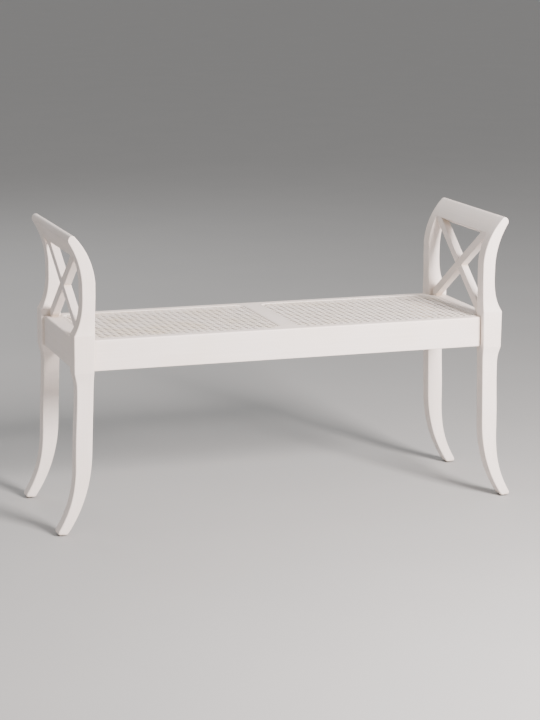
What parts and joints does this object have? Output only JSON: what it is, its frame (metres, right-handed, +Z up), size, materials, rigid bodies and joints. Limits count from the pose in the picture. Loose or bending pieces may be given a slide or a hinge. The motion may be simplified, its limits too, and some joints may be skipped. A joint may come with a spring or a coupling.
{
  "type": "caned window bench",
  "caption": "Long white-painted wooden bench with a flat woven-cane seat, sabre legs and an outward-scrolled, X-braced arm at each end.",
  "frame": {"origin": "on the floor, under the middle of the seat, at the bottom centre of the bounding box", "axes": "+X along the bench, +Y towards the back, +Z up"},
  "size_m": [1.1402, 0.366, 0.6945],
  "materials": {
    "painted_wood": "satin warm-white paint over wood",
    "painted_cane": "woven cane under a thin coat of white paint",
    "bare_beech": "unfinished hardwood",
    "zinc_steel": "zinc-plated",
    "glide_plastic": "moulded nylon"
  },
  "bodies": {
    "root": {"post_front_left": "painted_wood", "post_front_right": "painted_wood", "post_back_left": "painted_wood", "post_back_right": "painted_wood", "end_rail_left": "painted_wood", "end_rail_right": "painted_wood", "crest_rail_left": "painted_wood", "crest_rail_right": "painted_wood", "brace_rising_left": "painted_wood", "brace_falling_left": "painted_wood", "brace_rising_right": "painted_wood", "brace_falling_right": "painted_wood", "front_rail": "painted_wood", "back_rail": "painted_wood", "seat_end_left": "painted_wood", "seat_end_right": "painted_wood", "centre_bar": "painted_wood", "cane_left": "painted_cane", "cane_right": "painted_cane", "spline_left": "painted_cane", "spline_right": "painted_cane", "corner_block_front_left": "bare_beech", "corner_block_front_right": "bare_beech", "corner_block_back_left": "bare_beech", "corner_block_back_right": "bare_beech", "end_rail_dowels": "bare_beech", "crest_dowels": "bare_beech", "brace_dowels": "bare_beech", "seat_end_dowels": "bare_beech", "centre_bar_dowels": "bare_beech", "corner_screws": "zinc_steel", "seat_bolts": "zinc_steel", "bolt_washers": "zinc_steel", "bolt_inserts": "zinc_steel", "glide_front_left": "glide_plastic", "glide_front_right": "glide_plastic", "glide_back_left": "glide_plastic", "glide_back_right": "glide_plastic"}
  },
  "joints": []
}
